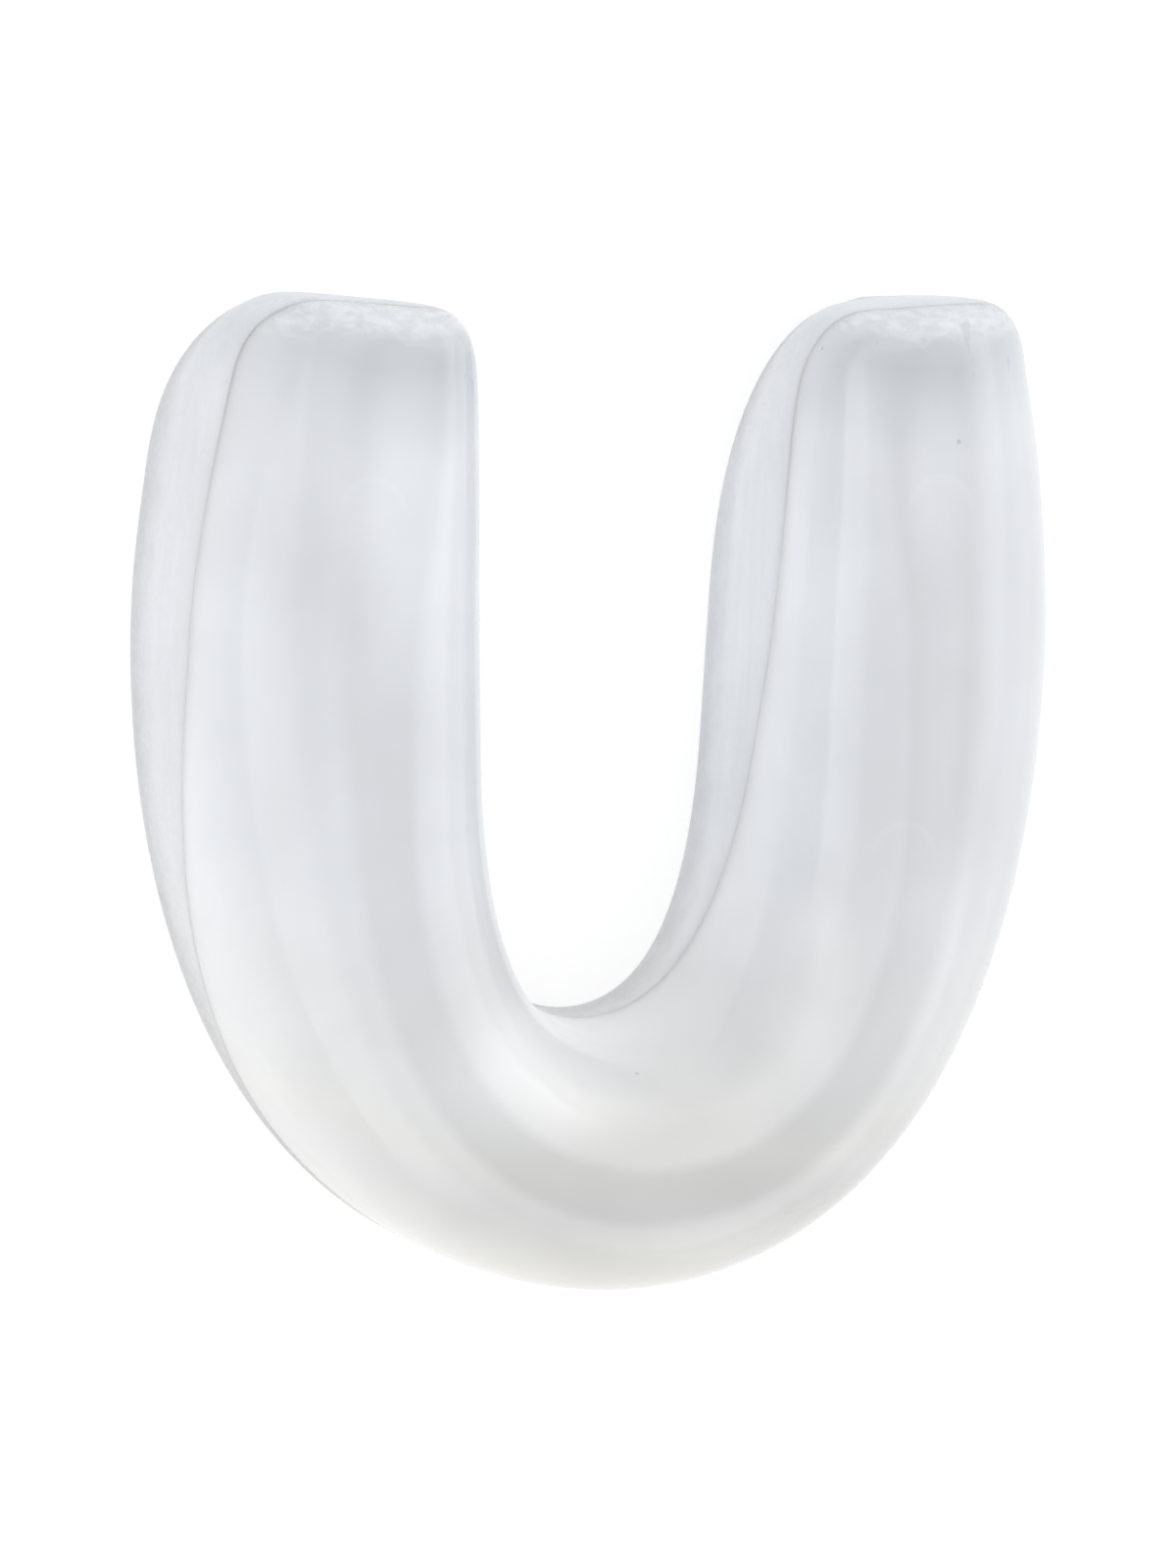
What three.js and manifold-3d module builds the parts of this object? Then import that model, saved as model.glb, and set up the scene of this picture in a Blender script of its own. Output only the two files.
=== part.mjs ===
// U-shaped cheek retractor, a soft silicone moulding in two layers. It lies on its rear rim.
// Millimetres, +Z up (the glossy face), arms towards +Y, the crown at -Y, mirrored about X = 0.
//
//   outer_shell  glossy skin: plateau, shoulders, closed arm ends, down to the parting line
//   inner_liner  soft lining of the trough, with a matte collar below the parting line and the rear rim
//
// The U bends in its crown, so both layers are modelled as a left and a right half, which meet in an
// hourglass slit on the bending axis.

import * as THREE from 'three';
import { mergeVertices } from 'three/addons/utils/BufferGeometryUtils.js';
import Module from 'manifold-3d';

// ---- driving dimensions -------------------------------------------------------------------------

// Plan outline of the base, right half, measured from the middle of the crown's outer edge.
const LENGTH = 50.9;            // crown to arm tips
const HALF_WIDTH = 23.7;        // widest point of the arms
const CENTRE_Y = 25.72;         // middle of the whole length, with the lean of the tips
const WIDEST_AT = 34.2;         // how far up the arms the widest point is
const CROWN_BOW = 12.3;         // how flat the crown's outer edge starts: Bezier handle along X
const FLANK_BOW = 11.7;         // how early the outer edge turns up: Bezier handle along Y
const TIP_HALF_WIDTH = 21.3;    // outer edge at the arm tips
const CROWN_WIDTH = 13.8;       // crown's outer edge to the gap's floor
const GAP_FLOOR_BOW = 4.3;      // how flat the gap's floor starts: Bezier handle along X
const GAP_FLANK_BOW = 18.2;     // how early the gap's edge turns up: Bezier handle along Y
const HALF_GAP = 7.3;           // half of the gap at mid-arm
const HALF_GAP_AT = 28.6;       // how far up the arms that is
const TIP_HALF_GAP = 8.2;       // half of the gap at the arm tips
const TIP_SLANT = 0.4;          // inner corners of the tips lie this much lower than the outer ones
const OUTER_CORNER = [7.1, 9.1];    // rim's round corner at a tip, outside: across, along the arm
const INNER_CORNER = [7.0, 14.8];   // the same on the gap's side

// Section through an arm or the crown.
const CROWN_DEPTH = 15.2;       // rear rim to plateau, at the crown
const TIP_DEPTH = 13.9;         // the same at the arm tips, without the roll-off
const TIP_ROLL = 0.8;           // how far the plateau rolls down towards the end walls
const TIP_ROLL_FROM = 41.0;     // how far up the arms that starts
const OUTER_SHOULDER = [5.0, 7.4];  // how far the outer shoulder comes in: at the crown, at mid-arm
const INNER_SHOULDER = [5.8, 5.0];  // the same on the gap's side
const SHOULDER_CHANGE = 26.0;   // the crown's shoulders have become the arms' this far up
const END_SHOULDER = 0.8;       // share of the shoulders left beside the tips, where the arms are narrower
const TIP_SHOULDER = 2.1;       // how far the end walls come in
const DRAFT = 0.3;              // extra narrowing of the walls from rim to plateau
const TIP_LEAN = 1.0;           // how far the end walls lean out from rim to plateau
const SECTION_POWER = 3.1;      // superellipse power of the shoulder's curve
const TOP_CORNER = 1.2;         // arm end corners at the plateau
const SHELL_WALL = 2.2;
const LINER_WALL = 1.3;
const LAYER_GAP = 0.3;          // play between shell and liner
const LEAST_SHOULDER = 0.9;     // the inner shoulders never get tighter than this

// Height of the parting line above the rim, at places along the arms: [Y, height].
const PARTING = [
  [-3, 1.7], [9, 1.7], [15, 3.9], [22, 6.7], [28, 8.4],
  [35, 8.8], [43, 9.0], [47, 9.8], [50, 11.2], [56, 11.4],
];

// Bending of the crown: the halves meet at BEND_AXIS_Y and fall away from each other on both sides.
const BEND_AXIS_Y = CROWN_WIDTH / 2;
const SLIT = 0.3;
const CLOSING_RELIEF = THREE.MathUtils.degToRad(6.5);   // each half, towards the gap
const OPENING_RELIEF = THREE.MathUtils.degToRad(4.5);   // each half, towards the crown's outer edge

// Fineness of the facets.
const EDGE_STEPS = 11;
const CORNER_STEPS = 4;
const LEVELS = 9;

// ---- plan outlines ------------------------------------------------------------------------------

// A point of a plan curve with its unit normal, which points into the material.
function edgePoint(curve, t, side) {
  const p = curve.getPoint(t);
  const d = curve.getTangent(t);
  return { x: p.x, y: p.y, nx: -d.y * side, ny: d.x * side };
}

const vec = (x, y) => new THREE.Vector2(x, y);

function outerEdge() {
  const rise = LENGTH - WIDEST_AT;
  const taper = HALF_WIDTH - TIP_HALF_WIDTH;
  const path = new THREE.CurvePath();
  path.add(new THREE.CubicBezierCurve(
    vec(0, 0), vec(CROWN_BOW, 0), vec(HALF_WIDTH, FLANK_BOW), vec(HALF_WIDTH, WIDEST_AT)));
  path.add(new THREE.CubicBezierCurve(
    vec(HALF_WIDTH, WIDEST_AT), vec(HALF_WIDTH, WIDEST_AT + rise / 3),
    vec(TIP_HALF_WIDTH + taper * 0.45, LENGTH - rise / 3), vec(TIP_HALF_WIDTH, LENGTH)));
  return path;
}

function innerEdge() {
  const rise = LENGTH - HALF_GAP_AT;
  const flare = TIP_HALF_GAP - HALF_GAP;
  const path = new THREE.CurvePath();
  path.add(new THREE.CubicBezierCurve(
    vec(0, CROWN_WIDTH), vec(GAP_FLOOR_BOW, CROWN_WIDTH),
    vec(HALF_GAP - 0.3, GAP_FLANK_BOW), vec(HALF_GAP, HALF_GAP_AT)));
  path.add(new THREE.CubicBezierCurve(
    vec(HALF_GAP, HALF_GAP_AT), vec(HALF_GAP + 0.3, HALF_GAP_AT + rise / 3),
    vec(TIP_HALF_GAP - flare * 0.35, LENGTH - rise / 3), vec(TIP_HALF_GAP, LENGTH)));
  return path;
}

const OUTER = outerEdge();
const INNER = innerEdge();

// The edge moved into the material by insetAt(y), from the crown up to y = top.
function edgeUpTo(curve, side, insetAt, top) {
  const at = (t) => {
    const e = edgePoint(curve, t, side);
    const inset = insetAt(e.y);
    return vec(e.x + e.nx * inset, e.y + e.ny * inset);
  };
  let low = 0;
  let high = 1;
  for (let i = 0; i < 30; i += 1) {
    const mid = (low + high) / 2;
    if (at(mid).y < top) low = mid;
    else high = mid;
  }
  return Array.from({ length: EDGE_STEPS + 1 }, (_, i) => at(low * i / EDGE_STEPS));
}

// Quarter ellipse from an edge's last point round to the end of the arm.
function corner(from, [width, length], side) {
  return Array.from({ length: CORNER_STEPS }, (_, i) => {
    const a = (Math.PI / 2) * (i + 1) / CORNER_STEPS;
    return vec(from.x - side * width * (1 - Math.cos(a)), from.y + length * Math.sin(a));
  });
}

// Whole U outline: right half from the crown round the tip and back, then its mirror image.
function outline(outerInset, innerInset, tipInset, outerCorner, innerCorner) {
  const outer = edgeUpTo(OUTER, 1, outerInset, LENGTH - tipInset - outerCorner[1]);
  const inner = edgeUpTo(INNER, -1, innerInset, LENGTH - TIP_SLANT - tipInset - innerCorner[1]);
  const half = [
    ...outer, ...corner(outer.at(-1), outerCorner, 1),
    ...corner(inner.at(-1), innerCorner, -1).reverse(), ...inner.reverse(),
  ];
  const mirrored = half.slice(1, -1).map((p) => vec(-p.x, p.y)).reverse();
  return [...half, ...mirrored];
}

// ---- solids -------------------------------------------------------------------------------------

const wasm = await Module();
wasm.setup();

function toManifold(geometry) {
  const bare = geometry.clone();
  bare.deleteAttribute('normal');
  bare.deleteAttribute('uv');
  const merged = mergeVertices(bare, 1e-4);
  const vertProperties = new Float32Array(merged.attributes.position.array);
  const triVerts = new Uint32Array(merged.index.array);
  return new wasm.Manifold(new wasm.Mesh({ numProp: 3, vertProperties, triVerts }));
}

function toGeometry(solid) {
  const mesh = solid.getMesh();
  const geometry = new THREE.BufferGeometry();
  geometry.setAttribute('position', new THREE.BufferAttribute(new Float32Array(mesh.vertProperties), 3));
  geometry.setIndex(new THREE.BufferAttribute(new Uint32Array(mesh.triVerts), 1));
  geometry.computeVertexNormals();
  return geometry;
}

// How far a shoulder of a body with this wall comes in, y up the arms.
function shoulderAt(y, [atCrown, atArm], wall) {
  const arm = THREE.MathUtils.smoothstep(y, 0, SHOULDER_CHANGE);
  const end = THREE.MathUtils.smoothstep(y, WIDEST_AT, LENGTH);
  const full = THREE.MathUtils.lerp(atCrown, atArm, arm) * THREE.MathUtils.lerp(1, END_SHOULDER, end);
  return Math.max(full - wall, LEAST_SHOULDER);
}

function depthAt(y) {
  const level = THREE.MathUtils.lerp(CROWN_DEPTH, TIP_DEPTH, THREE.MathUtils.smoothstep(y, 0, LENGTH));
  const roll = THREE.MathUtils.clamp((y - TIP_ROLL_FROM) / (LENGTH - TIP_ROLL_FROM), 0, 1);
  return level - TIP_ROLL * roll ** 2;
}

// The U body, closed at the top, made of outlines stacked from the base to the plateau. A wall of
// inward thickness keeps the body inside the full one, and reach carries its base below the rim.
function uBody(wall, reach) {
  const rings = [];
  for (let i = 0; i <= LEVELS; i += 1) {
    const a = (Math.PI / 2) * i / LEVELS;
    const rise = Math.sin(a) ** (2 / SECTION_POWER);
    const pull = i === LEVELS ? 1 : 1 - Math.cos(a) ** (2 / SECTION_POWER);
    const cornerAt = (base) => base.map(
      (size) => Math.max(THREE.MathUtils.lerp(size, TOP_CORNER, rise) - wall, TOP_CORNER / 2));
    const insetWith = (shoulder) => (y) => wall + DRAFT * rise + shoulderAt(y, shoulder, wall) * pull;
    const points = outline(
      insetWith(OUTER_SHOULDER), insetWith(INNER_SHOULDER),
      wall - TIP_LEAN * rise + TIP_SHOULDER * pull,
      cornerAt(OUTER_CORNER), cornerAt(INNER_CORNER));
    rings.push({ points, heights: points.map((p) => (i === 0 ? -reach : (depthAt(p.y) - wall) * rise)) });
  }
  const count = rings[0].points.length;
  const position = rings.flatMap(
    ({ points, heights }) => points.flatMap((p, i) => [p.x, p.y, heights[i]]));
  const index = [];
  for (let level = 0; level < LEVELS; level += 1) {
    for (let i = 0; i < count; i += 1) {
      const a = level * count + i;
      const b = level * count + (i + 1) % count;
      index.push(a, b, b + count, a, b + count, a + count);
    }
  }
  const top = LEVELS * count;
  THREE.ShapeUtils.triangulateShape(rings[0].points, []).forEach(([a, b, c]) => index.push(a, c, b));
  THREE.ShapeUtils.triangulateShape(rings[LEVELS].points, [])
    .forEach(([a, b, c]) => index.push(top + a, top + b, top + c));
  const geometry = new THREE.BufferGeometry();
  geometry.setAttribute('position', new THREE.Float32BufferAttribute(position, 3));
  geometry.setIndex(index);
  return toManifold(geometry);
}

// Everything above the parting line, lowered by drop.
function aboveParting(drop) {
  const ceiling = CROWN_DEPTH + 5;
  const profile = new THREE.Shape();
  profile.moveTo(PARTING.at(-1)[0], ceiling);
  profile.lineTo(PARTING[0][0], ceiling);
  PARTING.forEach(([y, z]) => profile.lineTo(y, z - drop));
  const width = 2 * HALF_WIDTH + 10;
  const geometry = new THREE.ExtrudeGeometry(profile, { depth: width, bevelEnabled: false });
  // shape x -> Y, shape y -> Z, depth -> X
  geometry.applyMatrix4(new THREE.Matrix4().makeBasis(
    new THREE.Vector3(0, 1, 0), new THREE.Vector3(0, 0, 1), new THREE.Vector3(1, 0, 0)));
  geometry.translate(-width / 2, 0, 0);
  return toManifold(geometry);
}

// The space on one side of the hourglass slit. side is 1 on the right, -1 on the left.
function sideOfSlit(side) {
  const far = HALF_WIDTH + 5;
  const lowY = -5;
  const highY = LENGTH + 5;
  const neck = SLIT / 2;
  const mouth = BEND_AXIS_Y * 2;
  const shape = new THREE.Shape();
  shape.moveTo(side * (neck + (BEND_AXIS_Y - lowY) * Math.tan(OPENING_RELIEF)), lowY);
  shape.lineTo(side * far, lowY);
  shape.lineTo(side * far, highY);
  shape.lineTo(side * (neck + (mouth - BEND_AXIS_Y) * Math.tan(CLOSING_RELIEF)), highY);
  shape.lineTo(side * (neck + (mouth - BEND_AXIS_Y) * Math.tan(CLOSING_RELIEF)), mouth);
  shape.lineTo(side * neck, BEND_AXIS_Y);
  const geometry = new THREE.ExtrudeGeometry(shape, { depth: CROWN_DEPTH + 10, bevelEnabled: false });
  geometry.translate(0, 0, -5);
  return toManifold(geometry);
}

// ---- layers -------------------------------------------------------------------------------------

function outerShell() {
  return uBody(0, 0).intersect(aboveParting(0)).subtract(uBody(SHELL_WALL, 1));
}

function innerLiner() {
  const shellSpace = aboveParting(LAYER_GAP).subtract(uBody(SHELL_WALL + LAYER_GAP, 1));
  const trough = uBody(SHELL_WALL + LAYER_GAP + LINER_WALL, 1);
  return uBody(0, 0).subtract(shellSpace).subtract(trough);
}

const LAYERS = [
  { name: 'outer_shell', solid: outerShell(), color: 0xdfe3e7, roughness: 0.12 },
  { name: 'inner_liner', solid: innerLiner(), color: 0xd6dadd, roughness: 0.5 },
];
const SIDES = [{ name: 'left', side: -1 }, { name: 'right', side: 1 }];

const part = new THREE.Group();
for (const layer of LAYERS) {
  for (const { name, side } of SIDES) {
    const material = new THREE.MeshStandardMaterial(
      { color: layer.color, roughness: layer.roughness, metalness: 0 });
    const mesh = new THREE.Mesh(toGeometry(layer.solid.intersect(sideOfSlit(side))), material);
    mesh.name = `${layer.name}_${name}`;
    mesh.position.y = -CENTRE_Y;
    part.add(mesh);
  }
}

export default part;
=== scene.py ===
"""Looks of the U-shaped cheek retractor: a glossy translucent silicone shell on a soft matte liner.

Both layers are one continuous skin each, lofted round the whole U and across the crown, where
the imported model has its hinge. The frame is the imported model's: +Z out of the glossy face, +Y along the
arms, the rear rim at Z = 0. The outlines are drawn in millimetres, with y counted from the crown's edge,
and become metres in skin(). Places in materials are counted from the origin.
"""
import math
from functools import cached_property

import bmesh
import bpy
import numpy as np
from mathutils import Matrix, Vector


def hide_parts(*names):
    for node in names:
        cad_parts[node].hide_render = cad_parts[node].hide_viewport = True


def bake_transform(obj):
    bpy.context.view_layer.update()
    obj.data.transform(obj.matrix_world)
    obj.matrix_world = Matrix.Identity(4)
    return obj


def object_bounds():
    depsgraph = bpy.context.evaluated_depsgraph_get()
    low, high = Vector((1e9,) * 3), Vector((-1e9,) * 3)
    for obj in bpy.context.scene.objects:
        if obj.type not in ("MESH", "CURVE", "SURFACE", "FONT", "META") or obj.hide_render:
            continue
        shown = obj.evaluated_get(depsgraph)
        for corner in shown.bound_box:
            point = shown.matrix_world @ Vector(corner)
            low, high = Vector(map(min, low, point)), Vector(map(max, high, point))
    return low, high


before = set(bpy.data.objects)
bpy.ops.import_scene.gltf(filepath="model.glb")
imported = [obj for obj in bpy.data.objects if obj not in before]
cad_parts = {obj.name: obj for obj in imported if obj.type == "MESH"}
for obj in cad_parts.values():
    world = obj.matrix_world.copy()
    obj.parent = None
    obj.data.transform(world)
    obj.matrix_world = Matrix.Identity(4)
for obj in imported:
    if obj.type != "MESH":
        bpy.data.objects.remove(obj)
cad_low, cad_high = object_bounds()

MM = 0.001

# ---- the moulding's driving dimensions, in millimetres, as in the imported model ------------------

# The outer edge in plan: two curves, from the crown to the widest place and on to the tip.
LENGTH = 50.9
WIDEST_AT = 34.2
HALF_WIDTH = cad_high.x / MM
CROWN_BOW = 12.3                # handle lengths
FLANK_BOW = 11.7
TIP_HALF_WIDTH = 21.3
TIP_TAPER_EASE = 0.45           # share of the taper that the last handle takes

# The edge of the gap between the arms, likewise.
CROWN_WIDTH = 13.8
GAP_FLOOR_BOW = 4.3
GAP_FLANK_BOW = 18.2
HALF_GAP = 7.3
HALF_GAP_AT = 28.6
HALF_GAP_FLARE = 0.3            # how far the handles there lean outwards
TIP_HALF_GAP = 8.2
TIP_FLARE_EASE = 0.35

# The arm ends.
TIP_SLANT = 0.4                 # how much lower the gap's side of an arm ends
OUTER_CORNER = np.array([7.1, 9.1])
INNER_CORNER = np.array([7.0, 14.8])
TOP_CORNER = 1.2                # radius of all corners on the plateau

# The section across an arm.
CROWN_DEPTH = cad_high.z / MM
TIP_DEPTH = 13.9                # without the roll-off
TIP_ROLL = 0.8                  # how far the plateau rolls down towards the end walls
TIP_ROLL_FROM = 41.0
OUTER_SHOULDER = (5.0, 7.4)     # widths at the crown and at mid-arm
INNER_SHOULDER = (5.8, 5.0)
SHOULDER_CHANGE = 26.0          # length over which they change
END_SHOULDER = 0.8              # share of the widths that is left at the arm ends
TIP_SHOULDER = 2.1              # how far the end walls come in
LEAST_SHOULDER = 0.9            # the inner shoulders never get tighter than this
DRAFT = 0.3                     # extra narrowing of the walls from rim to plateau
TIP_LEAN = 1.0                  # how far the end walls lean out from rim to plateau
SECTION_POWER = 3.1             # of the rounded section: 2 is an ellipse, more is squarer
CROWNING = 0.7                  # how far the plateau is arched across the section

# The two layers.
SHELL_WALL = 2.2
LINER_WALL = 1.3
LAYER_GAP = 0.3                 # play between shell and liner
EDGE_ROUND = 0.5                # rounding of the rim's edges
PARTING = ((-3, 1.7), (9, 1.7), (15, 3.9), (22, 6.7), (28, 8.4), (35, 8.8), (43, 9.0), (47, 9.8),
           (50, 11.2), (56, 11.4))      # (place up the arms, height of the parting line)
PARTING_GROOVE = 0.006          # width of the hairline between shell and collar
PARTING_BEVEL = 0.006           # how far the edges along the hairline turn in

CENTRE_Y = 25.72                # the origin is this far up from the crown's edge

# ---- how finely the shapes are divided ----------------------------------------------------------

CURVE_SAMPLES = 400
EDGE_STEPS = 84
CORNER_STEPS = 18
END_STEPS = 8
SOFTENING = 8                   # passes that even out the outlines where a corner meets an edge
PARTING_SOFTENING = 20          # samples on each side that the parting line is averaged over
WALL_LEVELS = 64
LINING_LEVELS = 28
ROOF_LEVELS = 4
RIM_LEVELS = 5
FINE_LEVELS = 300               # of the section that the levels above are picked from
SPINE_BEND = 0.75               # where along an arm its middle line leaves for the middle of the tip
MERGE_WITHIN = 2e-6             # metres
LEAST_EDGE = 1e-7               # metres
CREASE_ANGLE = math.radians(40)


# ---- plan curves --------------------------------------------------------------------------------

def bezier(points, t):
    """Points on a cubic Bezier and their directions."""
    a, b, c, d = (np.array(p, float) for p in points)
    t = t[:, None]
    place = (1 - t) ** 3 * a + 3 * (1 - t) ** 2 * t * b + 3 * (1 - t) * t ** 2 * c + t ** 3 * d
    run = 3 * (1 - t) ** 2 * (b - a) + 6 * (1 - t) * t * (c - b) + 3 * t ** 2 * (d - c)
    return place, run / np.linalg.norm(run, axis=1)[:, None]


def edge(pieces, inward):
    """A finely sampled plan edge: points and unit normals into the material."""
    t = np.linspace(0, 1, CURVE_SAMPLES)
    places, runs = zip(*(bezier(p, t) for p in pieces))
    place = np.vstack([places[0], *(p[1:] for p in places[1:])])
    run = np.vstack([runs[0], *(r[1:] for r in runs[1:])])
    return place, np.column_stack([-run[:, 1], run[:, 0]]) * inward


def outer_edge():
    rise = LENGTH - WIDEST_AT
    taper = HALF_WIDTH - TIP_HALF_WIDTH
    return edge([
        ((0, 0), (CROWN_BOW, 0), (HALF_WIDTH, FLANK_BOW), (HALF_WIDTH, WIDEST_AT)),
        ((HALF_WIDTH, WIDEST_AT), (HALF_WIDTH, WIDEST_AT + rise / 3),
         (TIP_HALF_WIDTH + taper * TIP_TAPER_EASE, LENGTH - rise / 3), (TIP_HALF_WIDTH, LENGTH)),
    ], 1)


def inner_edge():
    rise = LENGTH - HALF_GAP_AT
    flare = TIP_HALF_GAP - HALF_GAP
    return edge([
        ((0, CROWN_WIDTH), (GAP_FLOOR_BOW, CROWN_WIDTH), (HALF_GAP - HALF_GAP_FLARE, GAP_FLANK_BOW),
         (HALF_GAP, HALF_GAP_AT)),
        ((HALF_GAP, HALF_GAP_AT), (HALF_GAP + HALF_GAP_FLARE, HALF_GAP_AT + rise / 3),
         (TIP_HALF_GAP - flare * TIP_FLARE_EASE, LENGTH - rise / 3), (TIP_HALF_GAP, LENGTH)),
    ], -1)


OUTER = outer_edge()
INNER = inner_edge()


def smooth(x):
    """0 to 1 with a soft start and a soft end."""
    x = np.clip(x, 0, 1)
    return x * x * (3 - 2 * x)


def edge_up_to(curve, inset_at, top):
    """The edge moved into the material, cut at y = top and divided evenly by length."""
    place, normal = curve
    moved = place + normal * inset_at(place[:, 1])[:, None]
    end = int(np.argmax(moved[:, 1] >= top))
    part = (top - moved[end - 1, 1]) / (moved[end, 1] - moved[end - 1, 1])
    moved = np.vstack([moved[:end], moved[end - 1] + (moved[end] - moved[end - 1]) * part])
    run = np.concatenate([[0], np.cumsum(np.linalg.norm(np.diff(moved, axis=0), axis=1))])
    even = np.linspace(0, run[-1], EDGE_STEPS + 1)
    return np.column_stack([np.interp(even, run, moved[:, k]) for k in (0, 1)])


def corner(start, size, side):
    """A quarter of an ellipse, from a place on the edge up and round to the end of the arm."""
    a = np.linspace(0, np.pi / 2, CORNER_STEPS + 1)[1:]
    across = start[0] - side * size[0] * (1 - np.cos(a))
    return np.column_stack([across, start[1] + size[1] * np.sin(a)])


def outline(outer_inset, inner_inset, tip_inset, outer_size, inner_size):
    """One whole U outline, counter-clockwise. Its points match every other outline's one to one."""
    outer = edge_up_to(OUTER, outer_inset, LENGTH - tip_inset - outer_size[1])
    inner = edge_up_to(INNER, inner_inset, LENGTH - TIP_SLANT - tip_inset - inner_size[1])
    outer_round = corner(outer[-1], outer_size, 1)
    inner_round = corner(inner[-1], inner_size, -1)
    run = np.linspace(0, 1, END_STEPS + 1)[1:-1]
    share = np.column_stack([run, smooth(run)])
    end = outer_round[-1] * (1 - share) + inner_round[-1] * share
    half = np.vstack([outer, outer_round, end, inner_round[::-1], inner[::-1]])
    mirror = half[-2:0:-1] * np.array([-1, 1])
    whole = np.vstack([half, mirror])
    for _ in range(SOFTENING):
        whole = (np.roll(whole, 1, axis=0) + 2 * whole + np.roll(whole, -1, axis=0)) / 4
    return whole


# ---- sections -----------------------------------------------------------------------------------

def depth_at(y):
    """Height of the plateau."""
    roll = np.clip((y - TIP_ROLL_FROM) / (LENGTH - TIP_ROLL_FROM), 0, 1)
    return CROWN_DEPTH + (TIP_DEPTH - CROWN_DEPTH) * smooth(y / LENGTH) - TIP_ROLL * roll ** 2


def ring(wall, angle):
    """One level of the body with this inward wall, from the base (angle 0) to the plateau's edge."""
    rise = math.sin(angle) ** (2 / SECTION_POWER)
    pull = 1 - max(math.cos(angle), 0) ** (2 / SECTION_POWER)
    sizes = [np.maximum(c + (TOP_CORNER - c) * rise - wall, TOP_CORNER / 2)
             for c in (OUTER_CORNER, INNER_CORNER)]

    def inset_with(shoulder):
        at_crown, at_arm = shoulder

        def inset_at(y):
            full = at_crown + (at_arm - at_crown) * smooth(y / SHOULDER_CHANGE)
            full *= 1 - (1 - END_SHOULDER) * smooth((y - WIDEST_AT) / (LENGTH - WIDEST_AT))
            return wall + DRAFT * rise + np.maximum(full - wall, LEAST_SHOULDER) * pull
        return inset_at

    plan = outline(inset_with(OUTER_SHOULDER), inset_with(INNER_SHOULDER),
                   wall - TIP_LEAN * rise + TIP_SHOULDER * pull, *sizes)
    return np.column_stack([plan, (depth_at(plan[:, 1]) - wall) * rise])


def medial(level):
    """For each point of a ring, the point half-way across to the opposite edge."""
    half = len(level) // 2 + 1
    right = level[:half]
    across = EDGE_STEPS + 1
    middle = (right[:across] + right[-across:][::-1]) / 2
    tip_count = half - 2 * across
    centre = (middle[-1] + right[across + tip_count // 2]) / 2
    # The last stretch runs on to the middle of the rounded tip.
    tip = np.repeat(centre[None], tip_count, axis=0)
    reach = smooth((np.arange(across) / across - SPINE_BEND) / (1 - SPINE_BEND))[:, None]
    spine = middle + (centre - middle[-1]) * reach
    right_side = np.vstack([spine, tip, spine[::-1]])
    left_side = right_side[-2:0:-1] * np.array([-1, 1, 1])
    return np.vstack([right_side, left_side])


def parting_height(y):
    """Height of the line where the shell ends and the collar begins."""
    places, heights = zip(*PARTING)
    fine = np.linspace(places[0], places[-1], CURVE_SAMPLES)
    line = np.interp(fine, places, heights)
    kernel = np.hanning(2 * PARTING_SOFTENING + 1)
    soft = np.convolve(np.pad(line, PARTING_SOFTENING, mode="edge"), kernel / kernel.sum(), mode="valid")
    return np.interp(y, fine, soft)


def body_stack(wall):
    """Rings of the body with this wall, from the base up to the plateau's edge."""
    return np.array([ring(wall, math.pi / 2 * i / FINE_LEVELS) for i in range(FINE_LEVELS + 1)])


def between(stack, low, high, count):
    """Rings cut out of a stack between two heights, which may change round the U."""
    columns = []
    for u in range(stack.shape[1]):
        z = stack[:, u, 2]
        run = np.concatenate([[0], np.cumsum(np.linalg.norm(np.diff(stack[:, u], axis=0), axis=1))])
        first = np.interp(low[u], z, run)
        last = np.interp(high[u], z, run)
        at = first + (last - first) * np.linspace(0, 1, count + 1)
        columns.append(np.column_stack([np.interp(at, run, stack[:, u, k]) for k in range(3)]))
    return np.array(columns).transpose(1, 0, 2)


# ---- skins --------------------------------------------------------------------------------------

def with_roof(walls, base):
    """Wall rings, closed by rings from the plateau's edge to the middle line, and gently arched.

    Each point gets a fourth number: 0 on the middle line to 1 at the base.
    """
    edge_ring = walls[-1]
    centre = medial(edge_ring)
    roof = [edge_ring + (centre - edge_ring) * i / ROOF_LEVELS for i in range(1, ROOF_LEVELS + 1)]
    rings = np.vstack([walls, np.array(roof)])
    reach = np.linalg.norm((base - centre)[:, :2], axis=1)
    across = np.clip(np.linalg.norm((rings - centre)[:, :, :2], axis=2) / reach, 0, 1)
    rise = rings[:, :, 2] / edge_ring[:, 2]
    fade = 1 - smooth((rings[:, :, 1] - WIDEST_AT) / (LENGTH - TOP_CORNER - WIDEST_AT))
    rings[:, :, 2] -= CROWNING * across ** 2 * rise * fade
    return np.dstack([rings, across])


def turned_in(level, amount):
    """The ring moved into the material, level with itself."""
    run = np.roll(level, -1, axis=0) - np.roll(level, 1, axis=0)
    inward = np.column_stack([-run[:, 1], run[:, 0], np.zeros(len(run))])
    return level + inward / np.linalg.norm(inward, axis=1)[:, None] * amount


def round_rim(rings, radius):
    """Replaces the lowest ring by a rounded edge that turns in under the wall."""
    base, above = rings[0], rings[1:]
    turned = []
    for i in range(RIM_LEVELS + 1):
        a = math.pi / 2 * i / RIM_LEVELS
        rise = np.array([0, 0, radius * (1 - math.cos(a))])
        turned.append(turned_in(base, radius * (1 - math.sin(a))) + rise)
    above = above[above[:, :, 2].min(axis=1) > radius * 1.2]
    return np.vstack([np.array(turned), above])


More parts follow.
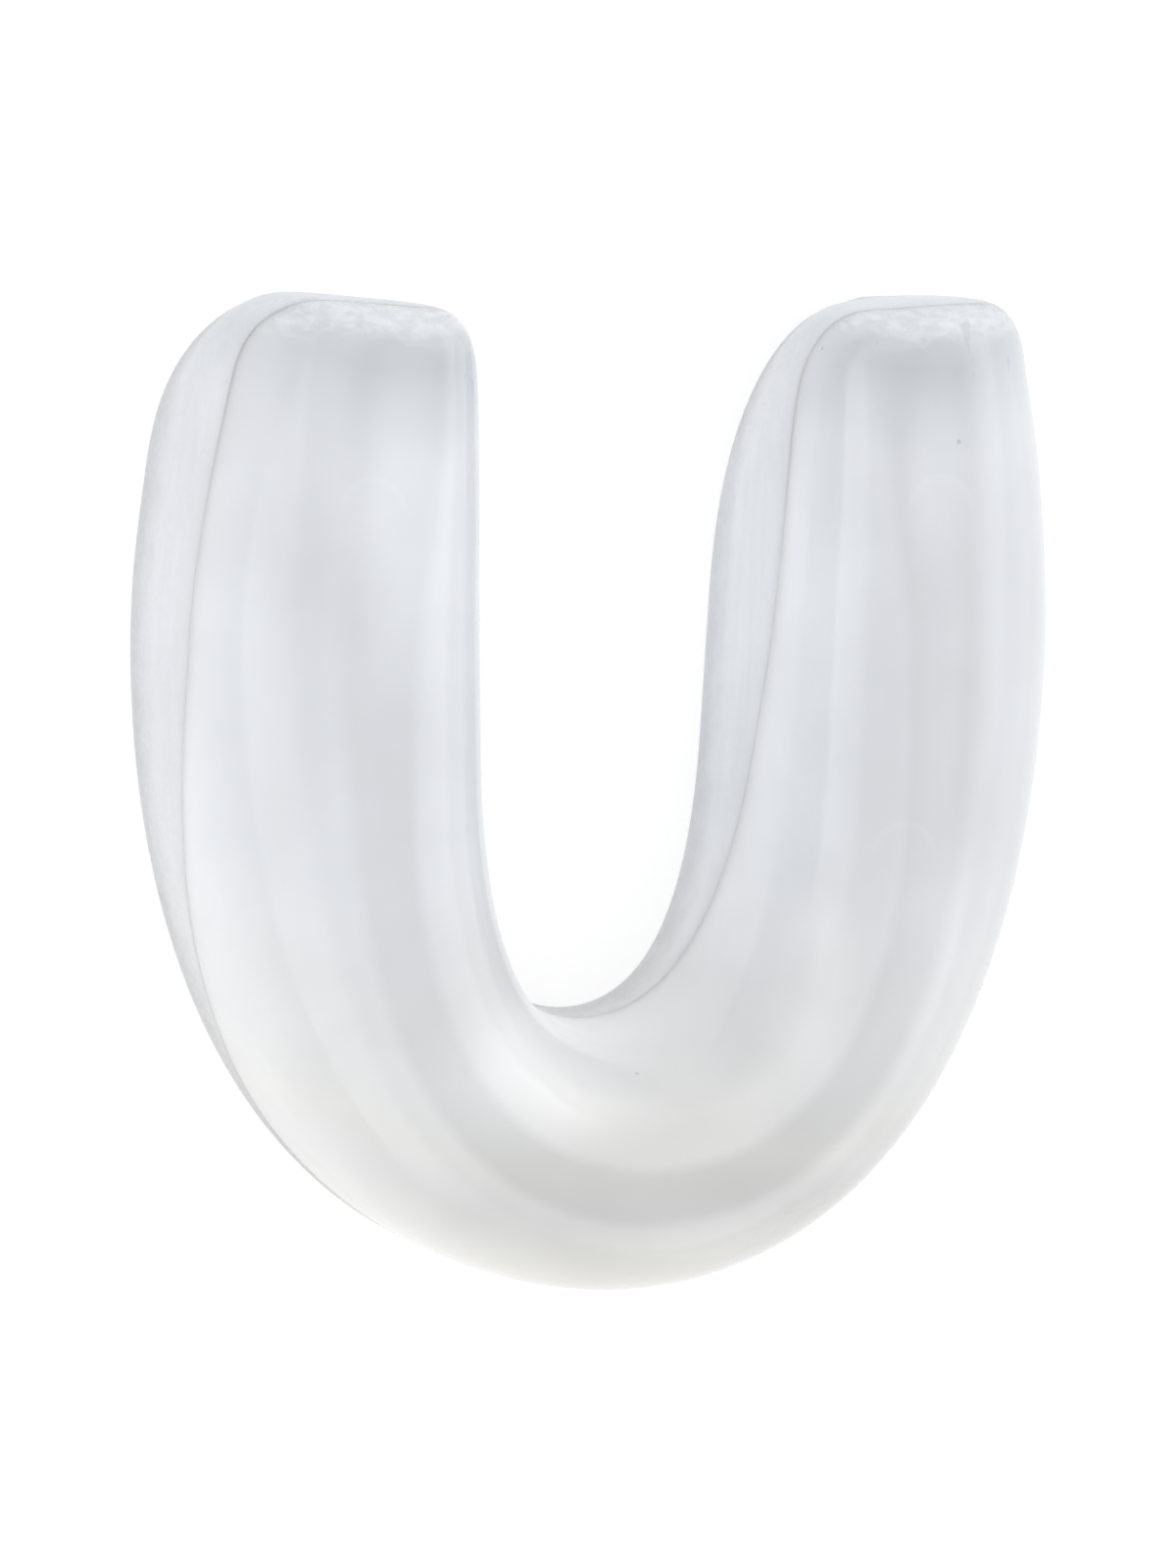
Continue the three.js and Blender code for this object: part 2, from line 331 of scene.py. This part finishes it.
def skin(name, sheets):
    """A closed mesh from rings that run from one middle line over the rim to the other."""
    rings = np.vstack(sheets)
    levels, count = rings.shape[:2]
    points = rings[:, :, :3].reshape(-1, 3) * MM
    points[:, 1] -= CENTRE_Y * MM
    faces = []
    for level in range(levels - 1):
        for u in range(count):
            a = level * count + u
            b = level * count + (u + 1) % count
            faces.append((a, b, b + count, a + count))
    mesh = bpy.data.meshes.new(name)
    mesh.from_pydata([tuple(p) for p in points], [], faces)
    # What the materials read: the place at rest, so that nothing slides when the crown bends, and how
    # far out from the middle line a point is.
    mesh.attributes.new("place", "FLOAT_VECTOR", "POINT").data.foreach_set("vector", points.ravel())
    mesh.attributes.new("across", "FLOAT", "POINT").data.foreach_set("value", rings[:, :, 3].ravel())
    build = bmesh.new()
    build.from_mesh(mesh)
    bmesh.ops.remove_doubles(build, verts=build.verts, dist=MERGE_WITHIN)
    bmesh.ops.dissolve_degenerate(build, edges=build.edges, dist=LEAST_EDGE)
    bmesh.ops.recalc_face_normals(build, faces=build.faces)
    for face in build.faces:
        face.smooth = True
    for crease in build.edges:
        crease.smooth = crease.calc_face_angle(0) < CREASE_ANGLE
    build.to_mesh(mesh)
    build.free()
    obj = bpy.data.objects.new(name, mesh)
    bpy.context.scene.collection.objects.link(obj)
    return obj


def make_shell():
    outer = body_stack(0)
    inner = body_stack(SHELL_WALL)
    line = parting_height(outer[0, :, 1]) + PARTING_GROOVE / 2
    outside = between(outer, line, outer[-1, :, 2], WALL_LEVELS)
    outside[0] = turned_in(outside[0], PARTING_BEVEL)
    inside = between(inner, line, inner[-1, :, 2], LINING_LEVELS)
    return skin("silicone_shell", [with_roof(inside, inner[0])[::-1], with_roof(outside, outer[0])])


def make_liner():
    outer = body_stack(0)
    under_shell = body_stack(SHELL_WALL + LAYER_GAP)
    trough = body_stack(SHELL_WALL + LAYER_GAP + LINER_WALL)
    line = parting_height(outer[0, :, 1]) - PARTING_GROOVE / 2
    collar = round_rim(between(outer, outer[0, :, 2], line, LINING_LEVELS), EDGE_ROUND)
    collar[-1] = turned_in(collar[-1], PARTING_BEVEL)
    lining = between(under_shell, line, under_shell[-1, :, 2], LINING_LEVELS)
    hollow = between(trough, trough[0, :, 2], trough[-1, :, 2], LINING_LEVELS)
    return skin("silicone_liner", [
        with_roof(hollow, trough[0])[::-1], with_roof(np.vstack([collar, lining]), outer[0])])


# ---- materials ----------------------------------------------------------------------------------

# Milky silicone, tinted along the U: warm at the crown and bluish along the arms; the dip just past the
# crown and the grey below the tips are painted shade, and the lift at the very end is painted light.
TINT_AND_SHADE_ALONG = (
    (0.00, (0.645, 0.638, 0.610)),
    (0.12, (0.600, 0.605, 0.602)),
    (0.20, (0.657, 0.656, 0.653)),
    (0.28, (0.674, 0.680, 0.690)),
    (0.45, (0.682, 0.698, 0.726)),
    (0.88, (0.682, 0.698, 0.730)),
    (0.94, (0.620, 0.641, 0.672)),
    (0.968, (0.572, 0.598, 0.632)),
    (1.00, (0.600, 0.626, 0.660)),
)
LINER_TINT = 1.03               # the liner's share of the same tint
TINT_LEAD = (0.035, -0.025)     # how far the tint runs ahead on the middle line and lags at the base

# Lighter and darker patches of painted light and shade: middle from the origin and half sizes in
# millimetres, and the factor.
PAINTED_LIGHT_PATCHES = (
    (-13.8, 15.5, 3.6, 11.0, 1.17),
    (-18.8, 11.0, 2.8, 13.0, 0.94),
    (7.6, 9.5, 3.3, 20.0, 1.14),
    (11.6, 3.5, 2.8, 15.0, 0.94),
    (16.8, 3.0, 1.8, 14.0, 0.94),
    (14.4, 17.0, 2.4, 6.5, 1.1),
    (-5.0, -12.5, 9.0, 5.0, 1.2),
    (5.5, -12.5, 7.0, 4.0, 1.08),
    (7.6, -7.5, 3.6, 5.5, 1.1),
    (5.3, -19.0, 7.0, 2.4, 0.95),
)

# The same painted light on the collar, inside the gap, where the arms shade it.
COLLAR_PAINTED_LIGHT_PATCHES = (
    (2.0, -7.0, 9.0, 9.0, 1.15),
    (7.5, 9.0, 3.0, 18.0, 1.12),
)
PATCH_CORE = 0.2                # share of a patch's size that has its full factor

# Painted highlights: faint light arcs on the upper edges of round marks on the arms; their middle from the
# origin and radius, in millimetres.
PAINTED_ARC_HIGHLIGHTS = ((14.6, 15.2, 1.8), (13.0, -2.2, 1.7), (-15.5, 15.3, 1.7))
ARC_HIGHLIGHT_LIGHTER = 1.02

# How fine the patterns are, in cycles per metre.
CLOUDS = 110
COLLAR_CLOUDS = 140
WAVES = 160
SPECK_CELLS = 190
GLOSS_PATCHES = 260
SCRATCHES = 520
RAGGED_EDGE = 700
GRAIN = 900
STREAKS = 900
CRINKLES = 1500
FROST = 2500

SPECK_SIZE = (0.03, 0.015)      # a speck fades in between these distances from its middle, in cells
SPECK_CHOICE = (0.55, 0.6)      # and in cells whose random value is above these
SPECK_DARKER = 0.78
SCRATCH_DARKER = 0.9
RIM_DARKER = 0.79
RIM_SHADE_HEIGHTS = (1.2, 4.6)           # heights that the painted shade fades between, in millimetres
RIM_RAGGED = 1.6                # how far it is ragged, in millimetres

# Silicone, and how its gloss fades where the surface turns edge-on.
SILICONE_IOR = 1.42
SCATTER = 0.6
SCATTER_DEPTH = 2.0             # millimetres
GLOSS_FADE = (0.6, 0.9)
SHELL_GLOSS = (1.0, 0.1)        # face-on, edge-on
LINER_GLOSS = (0.5, 0.05)


class Graph:
    """Adds nodes to a material and links them."""

    def __init__(self, name):
        self.material = bpy.data.materials.new(name)
        self.material.use_nodes = True
        self.tree = self.material.node_tree
        self.shader = self.tree.nodes["Principled BSDF"]

    def node(self, kind, inputs=(), **settings):
        """A new node. Inputs are other nodes' outputs or plain values."""
        made = self.tree.nodes.new(kind)
        for key, value in settings.items():
            setattr(made, key, value)
        self.fill(made, inputs)
        return made

    def fill(self, node, inputs):
        for key, value in dict(inputs).items():
            if isinstance(value, bpy.types.NodeSocket):
                self.tree.links.new(value, node.inputs[key])
            else:
                node.inputs[key].default_value = value

    @cached_property
    def place(self):
        """The place at rest, in metres from the origin."""
        return self.node("ShaderNodeAttribute", attribute_name="place").outputs["Vector"]

    @cached_property
    def along(self):
        """The place along the arms, 0 at the crown's edge to 1 at the tips."""
        return self.node("ShaderNodeMapRange", {
            "Value": self.axis("Y"), "From Min": cad_low.y, "From Max": cad_high.y}).outputs["Result"]

    @cached_property
    def across(self):
        """0 on the middle line of the plateau to 1 at the base."""
        return self.node("ShaderNodeAttribute", attribute_name="across").outputs["Fac"]

    def axis(self, name):
        return self.node("ShaderNodeSeparateXYZ", {"Vector": self.place}).outputs[name]

    def noise(self, scale, detail=3, stretch=(1, 1, 1)):
        moved = self.node("ShaderNodeMapping", {"Vector": self.place, "Scale": stretch})
        return self.node("ShaderNodeTexNoise", {
            "Vector": moved.outputs["Vector"], "Scale": scale, "Detail": detail}).outputs["Fac"]

    def levels(self, value, low, high, to_low=0.0, to_high=1.0):
        """The value between low and high, eased onto to_low … to_high."""
        return self.node("ShaderNodeMapRange", {
            "Value": value, "From Min": low, "From Max": high, "To Min": to_low, "To Max": to_high},
            interpolation_type="SMOOTHSTEP").outputs["Result"]

    def times(self, a, b):
        return self.node("ShaderNodeMath", {0: a, 1: b}, operation="MULTIPLY").outputs["Value"]

    def plus(self, a, b):
        return self.node("ShaderNodeMath", {0: a, 1: b}, operation="ADD").outputs["Value"]

    def away(self, x, y, half_x, half_y):
        """The distance from an upright line, 1 on an ellipse of these half sizes round it."""
        moved = self.node("ShaderNodeMapping", {
            "Vector": self.place, "Location": (-x / half_x, -y / half_y, 0),
            "Scale": (1 / half_x / MM, 1 / half_y / MM, 0)})
        return self.node("ShaderNodeVectorMath", {"Vector": moved.outputs["Vector"]},
                         operation="LENGTH").outputs["Value"]

    def arc(self, x, y, radius):
        """1 on the upper edge of a round mark, else 0."""
        away = self.away(x, y, radius, radius)
        edge_line = self.times(self.levels(away, 0.65, 1.0), self.levels(away, 1.07, 1.0))
        return self.times(edge_line, self.levels(self.axis("Y"), (y - 0.3) * MM, (y + 0.8) * MM))

    def tint(self, share):
        # The middle line is ahead of the flanks, so that the painted shade below the tips ends in a V.
        lead = self.levels(self.across, 0.1, 0.7, *TINT_LEAD)
        ramp = self.node("ShaderNodeValToRGB", {"Fac": self.plus(self.along, lead)})
        stops = ramp.color_ramp.elements
        while len(stops) < len(TINT_AND_SHADE_ALONG):
            stops.new(0.5)
        for stop, (position, colour) in zip(stops, TINT_AND_SHADE_ALONG):
            stop.position = position
            stop.color = (*(c * share for c in colour), 1)
        return ramp.outputs["Color"]

    def shade(self, colour, *factors):
        """The colour darkened or lightened by factors that vary over the surface."""
        for factor in factors:
            colour = self.node("ShaderNodeVectorMath", {"Vector": colour, "Scale": factor},
                               operation="SCALE").outputs["Vector"]
        return colour

    def patched(self, colour, patches):
        return self.shade(colour, *(self.levels(self.away(*where), PATCH_CORE, 1, factor, 1.0)
                                    for *where, factor in patches))

    def silicone(self, colour, roughness, gloss, bumps):
        """Sets the shader. Bumps are pairs of a height and a depth in millimetres, each on the last."""
        normal = None
        for height, depth in bumps:
            bump = self.node("ShaderNodeBump", {"Height": height, "Distance": depth * MM})
            if normal:
                self.tree.links.new(normal, bump.inputs["Normal"])
            normal = bump.outputs["Normal"]
        edge_on = self.node("ShaderNodeLayerWeight", {"Blend": 0.5}).outputs["Facing"]
        self.fill(self.shader, {
            "Base Color": colour, "Roughness": roughness, "Normal": normal,
            "Subsurface Weight": SCATTER, "Subsurface Radius": (1.0, 1.0, 1.0),
            "Subsurface Scale": SCATTER_DEPTH * MM,
            "IOR": SILICONE_IOR, "Specular IOR Level": self.levels(edge_on, *GLOSS_FADE, *gloss),
        })


def specks(g):
    """A few dark specks, each in the middle of a cell."""
    cells = g.node("ShaderNodeTexVoronoi", {"Vector": g.place, "Scale": SPECK_CELLS})
    random = g.node("ShaderNodeSeparateColor", {"Color": cells.outputs["Color"]}).outputs["Red"]
    speck = g.times(g.levels(cells.outputs["Distance"], *SPECK_SIZE), g.levels(random, *SPECK_CHOICE))
    return g.levels(speck, 0, 1, 1.0, SPECK_DARKER)


def scratches(g):
    """Short dark scratches near the tips."""
    lines = g.levels(g.noise(SCRATCHES, 6, (1.6, 0.6, 1)), 0.64, 0.68)
    return g.levels(g.times(lines, g.levels(g.along, 0.86, 0.94)), 0, 1, 1.0, SCRATCH_DARKER)


def painted_dark_band(g):
    """Painted shade: darker along the middle of the plateau, most in the crown, where it mirrors the dark
    gap between the lamps.
    """
    return g.levels(g.across, 0.13, 0.27, g.levels(g.along, 0.1, 0.35, 0.87, 0.92), 1.0)


def painted_flank_light(g):
    """Painted light: lighter low down along the arms; painted shade: a little darker low down at the tips.
    """
    return g.levels(g.axis("Z"), 6 * MM, 14 * MM, g.levels(g.along, 0.8, 0.93, 1.12, 0.95), 1.0)


def shell_material():
    """Glossy and a little wavy, with faint clouds, a few dark specks, and roughened arm ends."""
    g = Graph("shell_silicone")
    # Crinkled where the plateau turns down into the end walls, and lighter there in the same crinkled
    # pattern: painted glints and painted light.
    at_tip = g.levels(g.along, 0.952, 0.985)
    crinkle = g.noise(CRINKLES, 6, (1, 1.6, 0.6))
    painted_tip_glints = g.levels(at_tip, 0, 1, 1.0, g.levels(crinkle, 0.34, 0.66, 1.08, 1.23))
    clouds = g.levels(g.noise(CLOUDS), 0.3, 0.7, 0.965, 1.03)
    # Painted highlights on the arcs.
    arc_highlights = (g.levels(g.arc(*mark), 0, 1, 1.0, ARC_HIGHLIGHT_LIGHTER) for mark in PAINTED_ARC_HIGHLIGHTS)
    colour = g.shade(g.tint(1.0), clouds, specks(g), *arc_highlights)
    # Painted light and shade in patches.
    colour = g.patched(colour, PAINTED_LIGHT_PATCHES)
    # Painted shade along the plateau's middle, painted light low on the flanks, and painted glints at the
    # arm ends.
    colour = g.shade(colour, painted_dark_band(g), painted_flank_light(g), painted_tip_glints, scratches(g))
    roughness = g.levels(g.noise(GLOSS_PATCHES), 0.35, 0.7, 0.12, 0.2)
    g.silicone(colour, roughness, SHELL_GLOSS, [
        (g.noise(WAVES, 1), 0.05), (g.noise(GRAIN, 2), 0.001), (g.times(crinkle, at_tip), 0.2)])
    return g.material


def shaded_rim(g):
    """Painted shade towards the rim, where it meets the floor, with a ragged upper edge."""
    height = g.plus(g.times(g.noise(RAGGED_EDGE), RIM_RAGGED * MM), g.axis("Z"))
    return g.levels(height, RIM_SHADE_HEIGHTS[0] * MM, RIM_SHADE_HEIGHTS[1] * MM, RIM_DARKER, 1.0)


def liner_material():
    """Frosted, with fine scratches that run along the arms, painted shade towards the rim and painted
    glints at the ends.
    """
    g = Graph("liner_silicone")
    streaks = g.noise(STREAKS, 4, (2.2, 0.12, 1.0))
    frost = g.noise(FROST, 4)
    # Painted light and glints: lighter at the arm ends, in a frosty pattern.
    painted_tip_glints_end = g.levels(g.along, 0.965, 0.995, 1.0, g.levels(frost, 0.38, 0.62, 1.04, 1.16))
    colour = g.shade(g.tint(LINER_TINT), g.levels(streaks, 0.35, 0.65, 0.985, 1.015),
                     g.levels(g.noise(COLLAR_CLOUDS), 0.35, 0.65, 0.97, 1.02))
    # Painted light in patches on the collar.
    colour = g.patched(colour, COLLAR_PAINTED_LIGHT_PATCHES)
    # Painted shade towards the rim and painted glints at the ends.
    colour = g.shade(colour, shaded_rim(g), painted_tip_glints_end)
    roughness = g.levels(frost, 0.35, 0.65, 0.3, 0.5)
    g.silicone(colour, roughness, LINER_GLOSS, [(streaks, 0.01), (frost, 0.02)])
    return g.material


def floor_material():
    """Pale and lit from below like a light table, so that it stays white beside the part."""
    g = Graph("pale_floor")
    g.fill(g.shader, {
        "Base Color": (0.38, 0.38, 0.38, 1), "Roughness": 0.9, "Specular IOR Level": 0.0,
        "Emission Color": (1, 1, 1, 1), "Emission Strength": 0.7,
    })
    return g.material


# ---- pieces -------------------------------------------------------------------------------------

for make, material, slot, cad_nodes in (
        (make_shell, shell_material(), "shell_silicone", ("outer_shell_left", "outer_shell_right")),
        (make_liner, liner_material(), "liner_silicone", ("inner_liner_left", "inner_liner_right"))):
    piece = make()
    piece.data.materials.append(material)
    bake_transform(piece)
    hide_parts(*cad_nodes)

# ---- stage, lights, camera ----------------------------------------------------------------------

FLOOR_HALF = 1.5
FLOOR_GAP = 0.05 * MM           # between the rim and the floor

# Name, bearing from +X and height in degrees, sizes, radiance, and whether surfaces scatter its light and
# whether they mirror it.
SOFTBOXES = (
    ("left_softbox", 212, 33, (1.2, 0.9), 0.4, False, True),
    ("right_softbox", 335, 30, (1.2, 0.8), 0.3, False, True),
    ("high_right_softbox", 342, 55, (0.9, 0.28), 0.55, False, True),
    ("far_right_softbox", 50, 30, (0.6, 0.6), 0.25, False, True),
    ("left_fill", 205, 30, (1.0, 0.7), 0.33, True, True),
    ("far_fill", 65, 28, (1.0, 0.7), 0.3, True, False),
)
SOFTBOX_DISTANCE = 0.7

# The surroundings are white but for a dim corner to the far left: its direction, and the cosine of the
# angle to that direction and the strength, at the corner's edge and in its middle.
DIM_CORNER = (-0.7, 0.75, 0.45)
DIM_CORNER_EDGE = (0.7, 1.06)
DIM_CORNER_MIDDLE = (0.97, 0.6)

# The camera looks at a point above the middle of the arms, from a little to -X and +Y of the glossy face's
# axis, and is turned a little in its own plane.
CAMERA_YAW = math.radians(20.7)
CAMERA_PITCH = math.radians(7.87)
CAMERA_ROLL = math.radians(1.55)
CAMERA_DISTANCE = 0.327
CAMERA_FOCUS = Vector((0, -0.72, 7.5)) * MM
CAMERA_LENS = 98.59             # millimetres, as is the sensor's height
SENSOR_HEIGHT = 24
CAMERA_SHIFT = (-0.01731, 0.01838)


def add_floor():
    mesh = bpy.data.meshes.new("floor")
    corners = [(x * FLOOR_HALF, y * FLOOR_HALF, 0) for x, y in ((-1, -1), (1, -1), (1, 1), (-1, 1))]
    mesh.from_pydata(corners, [], [(0, 1, 2, 3)])
    floor = bpy.data.objects.new("floor", mesh)
    bpy.context.scene.collection.objects.link(floor)
    floor.location.z = -FLOOR_GAP
    mesh.materials.append(floor_material())


def add_softbox(name, bearing, height, size, radiance, diffuse, gloss):
    """A rectangle of light that faces the object."""
    light = bpy.data.lights.new(name, "AREA")
    light.shape = "RECTANGLE"
    light.size, light.size_y = size
    light.energy = radiance * math.pi * size[0] * size[1]
    turn, tilt = math.radians(bearing), math.radians(height)
    out = Vector((math.cos(turn) * math.cos(tilt), math.sin(turn) * math.cos(tilt), math.sin(tilt)))
    obj = bpy.data.objects.new(name, light)
    obj.location = out * SOFTBOX_DISTANCE
    obj.rotation_euler = out.to_track_quat("Z", "Y").to_euler()
    obj.visible_diffuse = diffuse
    obj.visible_glossy = gloss
    bpy.context.scene.collection.objects.link(obj)


def add_surroundings():
    world = bpy.data.worlds.new("studio")
    world.use_nodes = True
    tree = world.node_tree
    towards = tree.nodes.new("ShaderNodeVectorMath")
    towards.operation = "DOT_PRODUCT"
    towards.inputs[1].default_value = Vector(DIM_CORNER).normalized()
    dim = tree.nodes.new("ShaderNodeMapRange")
    dim.interpolation_type = "SMOOTHSTEP"
    dim.inputs["From Min"].default_value, dim.inputs["To Min"].default_value = DIM_CORNER_EDGE
    dim.inputs["From Max"].default_value, dim.inputs["To Max"].default_value = DIM_CORNER_MIDDLE
    tree.links.new(tree.nodes.new("ShaderNodeTexCoord").outputs["Generated"], towards.inputs[0])
    tree.links.new(towards.outputs["Value"], dim.inputs["Value"])
    tree.nodes["Background"].inputs["Color"].default_value = (1, 1, 1, 1)
    tree.links.new(dim.outputs["Result"], tree.nodes["Background"].inputs["Strength"])
    bpy.context.scene.world = world


def add_camera():
    towards = Vector((-math.sin(CAMERA_YAW) * math.cos(CAMERA_PITCH), math.sin(CAMERA_PITCH),
                      math.cos(CAMERA_YAW) * math.cos(CAMERA_PITCH)))
    up = (Vector((0, 1, 0)) - towards * towards.y).normalized()
    right = up.cross(towards)
    turned_right = right * math.cos(CAMERA_ROLL) + up * math.sin(CAMERA_ROLL)
    turned_up = up * math.cos(CAMERA_ROLL) - right * math.sin(CAMERA_ROLL)
    turn = Matrix((turned_right, turned_up, towards)).transposed()
    camera = bpy.data.cameras.new("camera")
    camera.sensor_fit = "VERTICAL"
    camera.sensor_height = SENSOR_HEIGHT
    camera.lens = CAMERA_LENS
    camera.shift_x, camera.shift_y = CAMERA_SHIFT
    camera.clip_start = 0.01
    obj = bpy.data.objects.new("camera", camera)
    obj.matrix_world = Matrix.Translation(CAMERA_FOCUS + towards * CAMERA_DISTANCE) @ turn.to_4x4()
    bpy.context.scene.collection.objects.link(obj)
    bpy.context.scene.camera = obj


add_floor()
for softbox in SOFTBOXES:
    add_softbox(*softbox)
add_surroundings()
add_camera()
bpy.context.scene.view_settings.view_transform = "Standard"
